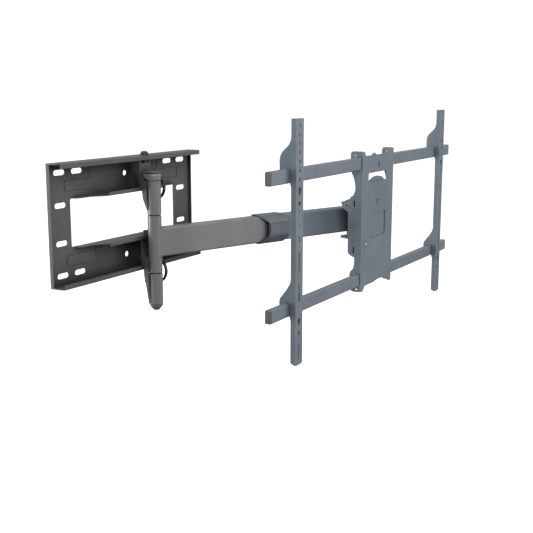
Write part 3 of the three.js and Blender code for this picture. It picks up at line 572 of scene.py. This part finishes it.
ARM_OUTER = round_box(ARM_HALF_T, ARM_HALF_H, ARM_CORNER, 6, 16)
ARM_INNER = round_box(ARM_HALF_T - ARM_WALL, ARM_HALF_H - ARM_WALL, ARM_CORNER - ARM_WALL, 6, 16)
place = arm_place(COLUMN, ARM1_ANGLE, 0.0)
arm_one = hollow_bar(ARM_OUTER, ARM_INNER, fish_mouth, lambda u: ARM1_LENGTH - ARM_END, place)
piece("arm_one_tube", arm_one, "coat_grey", "arm_one", "arm1_tube", 0.3)
place = arm_place(ELBOW, ARM2_ANGLE, ELBOW_SET_BACK)
arm_two = hollow_bar(ARM_OUTER, ARM_INNER, lambda u: ARM_END, lambda u: ARM2_LENGTH - fish_mouth(u), place)
fork_tab(arm_two, ARM_TOP - ARM_WALL, ARM_TOP - 0.05)
fork_tab(arm_two, ARM_FOOT + 0.05, ARM_FOOT + ARM_WALL)
piece("arm_two_tube", arm_two, "coat_head", "arm_two", "arm2_tube", 0.3)


def bead(bm, centre, z, facing, size=1.5, half_angle=1.4, steps=40, sides=10):
    """A weld bead round the side of a barrel that looks in one direction, thin at its two ends."""
    rings = []
    for i in range(steps + 1):
        a = facing + half_angle * (2 * i / steps - 1)
        ripple = 1.0 + 0.10 * math.sin(i * 2.1)
        swell = size * (0.35 if i in (0, steps) else ripple)
        ring = []
        for k in range(sides):
            b = math.tau * k / sides
            r = BARREL_R + 0.2 + swell * math.cos(b)
            x, y = centre[0] + r * math.cos(a), centre[1] + r * math.sin(a)
            ring.append(bm.verts.new(metres(x, y, z + swell * math.sin(b))))
        rings.append(ring)
    solid(bm, rings)


for name, slot, centre, facing in (
    ("arm_one", "coat_grey", COLUMN, ARM1_ANGLE),
    ("arm_two", "coat_head", HEAD, ARM2_ANGLE + math.pi),
):
    welds = bmesh.new()
    for height in (ARM_TOP + 0.3, ARM_FOOT - 0.3):
        bead(welds, centre, height, facing)
    piece(f"{name}_welds", welds, slot, name)


# ---- rails and their end caps ---------------------------------------------------------------
def rail_cap(outer, plug, end, away, place):
    """A plug in the rail's end and a head with a rounded rim; away is -1 or 1, out of the rail."""
    bm = bmesh.new()

    def ring(s, points, su=1.0, sv=1.0):
        return [bm.verts.new(place(s, u * su, v * sv)) for u, v in points]

    shoulder = end + away * RAIL_CAP_GAP
    rings = [ring(end - away * RAIL_PLUG, plug, 0.94, 0.97), ring(end - away * (RAIL_PLUG - 2), plug)]
    rings += [ring(shoulder, plug), ring(shoulder, outer)]
    half_u, half_v = max(u for u, v in outer), max(v for u, v in outer)
    steps = 5
    for k in range(steps + 1):
        a = math.radians(90 * k / steps)
        inset = RAIL_CAP_ROUND * (1 - math.cos(a))
        s = shoulder + away * (RAIL_CAP_HEAD - RAIL_CAP_ROUND + RAIL_CAP_ROUND * math.sin(a))
        rings.append(ring(s, outer, 1 - inset / half_u, 1 - inset / half_v))
    solid(bm, rings)
    return bm


for level in ("upper", "lower"):
    low, high = span(f"rail_{level}")
    middle_y, middle_z = (low[1] + high[1]) / 2, (low[2] + high[2]) / 2
    half_t, half_h = (high[1] - low[1]) / 2, (high[2] - low[2]) / 2
    bore_t, bore_h = half_t - RAIL_WALL, half_h - RAIL_WALL

    def rail_place(s, u, v, y=middle_y, z=middle_z):
        return metres(s, y + u, z + v)

    outer = round_box(half_t, half_h, RAIL_CORNER)
    inner = round_box(bore_t, bore_h, RAIL_CORNER - RAIL_WALL)
    rail = hollow_bar(outer, inner, lambda u: low[0], lambda u: high[0], rail_place)
    piece(f"{level}_rail", rail, "coat_head", "head", f"rail_{level}", 0.2)
    plug = round_box(bore_t - RAIL_CAP_GAP, bore_h - RAIL_CAP_GAP, 0.6)
    for side, end, away in (("left", low[0], -1), ("right", high[0], 1)):
        cap = rail_cap(outer, plug, end, away, rail_place)
        piece(f"{level}_rail_{side}_cap", cap, "cap_plastic", "head", f"rail_cap_{level}_{side}")

# ---- the other CAD nodes keep their shape, with eased edges ----------------------------------
LOOKS = {
    "coat_dark": ["hinge_bracket_upper", "hinge_bracket_lower"],
    "coat_grey": ["elbow_eye"],
    "coat_head": ["head_eye", "swivel_bracket", "tilt_cradle"],
    "cap_plastic": ["elbow_cover"],
    "black_plastic": ["cable_hoop_upper", "cable_hoop_lower", "swivel_washer_upper", "swivel_washer_lower"],
    "black_steel": ["bracket_bolt_upper", "bracket_bolt_lower", "bracket_nut_upper", "bracket_nut_lower"],
    "bright_steel": ["head_screw", "tilt_rivet_left", "tilt_rivet_right"],
    "fastener": ["hinge_pin", "elbow_pin", "swivel_bolt", "swivel_nut"],
}
EASE = {"elbow_cover": 0.5, "hinge_bracket_upper": 0.6, "hinge_bracket_lower": 0.6}
for look, names in LOOKS.items():
    for name in names:
        finish(nodes[name], look)
        soften(nodes[name], EASE.get(name, 0.45))


# ---- stage ----------------------------------------------------------------------------------
def floor(half=12.0, level=-1.05):
    mesh = bpy.data.meshes.new("studio_floor")
    corners = [(-half, -half, level), (half, -half, level), (half, half, level), (-half, half, level)]
    mesh.from_pydata(corners, [], [(0, 1, 2, 3)])
    obj = bpy.data.objects.new("studio_floor", mesh)
    bpy.context.collection.objects.link(obj)
    g = Graph("studio_paper")
    tone = g.spread(g.noise(1.5, 2.0), 0.3, 0.7, 0.0, 1.0)
    paper = g.mix(tone, (0.93, 0.93, 0.93), (0.96, 0.96, 0.96))
    g.join(paper, g.shader.inputs["Base Color"])
    g.join(paper, g.shader.inputs["Emission Color"])
    g.shader.inputs["Emission Strength"].default_value = 0.75
    g.shader.inputs["Roughness"].default_value = 0.9
    g.shader.inputs["Specular IOR Level"].default_value = 0.0
    obj.data.materials.append(g.material)
    obj.visible_diffuse = False
    obj.visible_glossy = False


def aim(obj, place, direction):
    obj.location = place
    obj.rotation_mode = "QUATERNION"
    obj.rotation_quaternion = Vector(direction).to_track_quat("-Z", "Y")
    bpy.context.collection.objects.link(obj)


def soft_box(name, place, target, width, height, power):
    light = bpy.data.lights.new(name, "AREA")
    light.shape = "RECTANGLE"
    light.size, light.size_y = width, height
    light.energy = power
    aim(bpy.data.objects.new(name, light), place, Vector(target) - Vector(place))


def studio_world(foot=0.14, top=0.62, behind=1.05):
    """Light that grows from foot below to top above; the camera sees an even, bright ground behind."""
    world = bpy.data.worlds.new("studio")
    bpy.context.scene.world = world
    world.use_nodes = True
    tree = world.node_tree
    background = tree.nodes["Background"]
    direction = tree.nodes.new("ShaderNodeTexCoord")
    split = tree.nodes.new("ShaderNodeSeparateXYZ")
    tree.links.new(direction.outputs["Generated"], split.inputs["Vector"])
    sky = tree.nodes.new("ShaderNodeMapRange")
    for key, number in (("From Min", -0.35), ("From Max", 0.6), ("To Min", foot), ("To Max", top)):
        sky.inputs[key].default_value = number
    tree.links.new(split.outputs["Z"], sky.inputs["Value"])
    path = tree.nodes.new("ShaderNodeLightPath")
    strength = tree.nodes.new("ShaderNodeMapRange")
    strength.inputs["To Max"].default_value = behind
    tree.links.new(path.outputs["Is Camera Ray"], strength.inputs["Value"])
    tree.links.new(sky.outputs["Result"], strength.inputs["To Min"])
    tree.links.new(strength.outputs["Result"], background.inputs["Strength"])
    background.inputs["Color"].default_value = (1.0, 1.0, 1.0, 1.0)


def camera(place, yaw, pitch, lens):
    """A camera that looks yaw degrees from +X towards +Y and pitch degrees down."""
    data = bpy.data.cameras.new("camera")
    data.sensor_width = 36.0
    data.lens = lens
    data.clip_end = 60.0
    obj = bpy.data.objects.new("camera", data)
    across, down = math.radians(yaw), math.radians(pitch)
    level = math.cos(down)
    aim(obj, place, (math.cos(across) * level, math.sin(across) * level, -math.sin(down)))
    bpy.context.scene.camera = obj


floor()
MIDDLE = (0.45, -0.2, -0.06)
HINGE = (0.03, -0.056, -0.12)
soft_box("key", (-2.1, -2.5, 1.9), MIDDLE, width=2.6, height=2.6, power=124.0)
soft_box("strip_left", (-0.97, 1.67, 0.1), HINGE, width=0.55, height=1.8, power=48.0)
soft_box("strip_right", (1.42, -1.5, 0.1), HINGE, width=0.4, height=1.8, power=8.0)
soft_box("fill", (1.4, -2.8, 0.4), MIDDLE, width=1.4, height=2.4, power=22.0)
soft_box("top", (0.3, -0.2, 2.6), MIDDLE, width=2.6, height=2.0, power=26.0)
studio_world()
camera((-1.5699, -1.2623, 0.1998), yaw=30.07, pitch=10.908, lens=62.6)
bpy.context.scene.view_settings.view_transform = "Standard"
